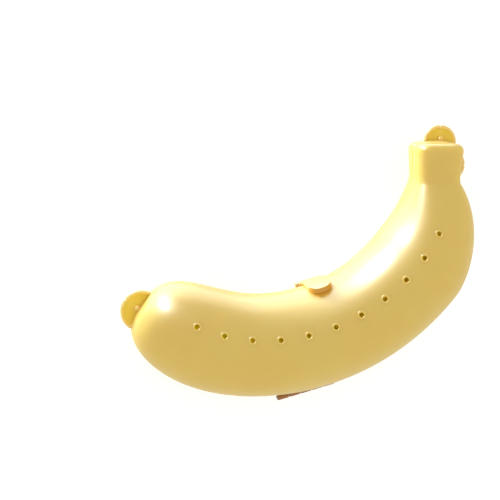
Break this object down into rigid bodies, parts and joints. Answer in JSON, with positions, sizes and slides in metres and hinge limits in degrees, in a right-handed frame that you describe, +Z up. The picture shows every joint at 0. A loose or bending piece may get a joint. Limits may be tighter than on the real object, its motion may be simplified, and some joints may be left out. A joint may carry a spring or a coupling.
{
  "type": "banana carrying case",
  "caption": "Curved hinged plastic case shaped like a banana, with rows of vents, seam tabs at tip and stem, and a swinging strap latch.",
  "frame": {"origin": "point of the table under the middle of the tube, with the closed case lying on its back half", "axes": "+X from the tip to the stem along the hinge line, +Y from the belly towards the concave side, +Z up towards the front half"},
  "size_m": [0.1963, 0.1199, 0.0537],
  "materials": {
    "shell_plastic": "glossy moulded pale yellow plastic",
    "tab_plastic": "glossy deeper yellow plastic",
    "pin_steel": "plain drawn steel wire"
  },
  "bodies": {
    "back_half": {"back_shell": "shell_plastic", "hinge_pin": "pin_steel", "latch_pin": "pin_steel", "tip_clip": "tab_plastic", "stem_clip": "tab_plastic", "neck_clip": "tab_plastic"},
    "front_half": {"front_shell": "shell_plastic"},
    "latch": {"centre_latch": "tab_plastic"}
  },
  "joints": [
    {"name": "case_open", "type": "hinge", "parent": "back_half", "child": "front_half", "pos_m": [0, -0.02735, 0.0267], "axis": [1, 0, 0], "range_deg": [0, 180]},
    {"name": "latch_lift", "type": "hinge", "parent": "back_half", "child": "latch", "pos_m": [0.0092, 0.02589, 0.0147], "axis": [-1, 0, 0], "range_deg": [0, 100]}
  ]
}
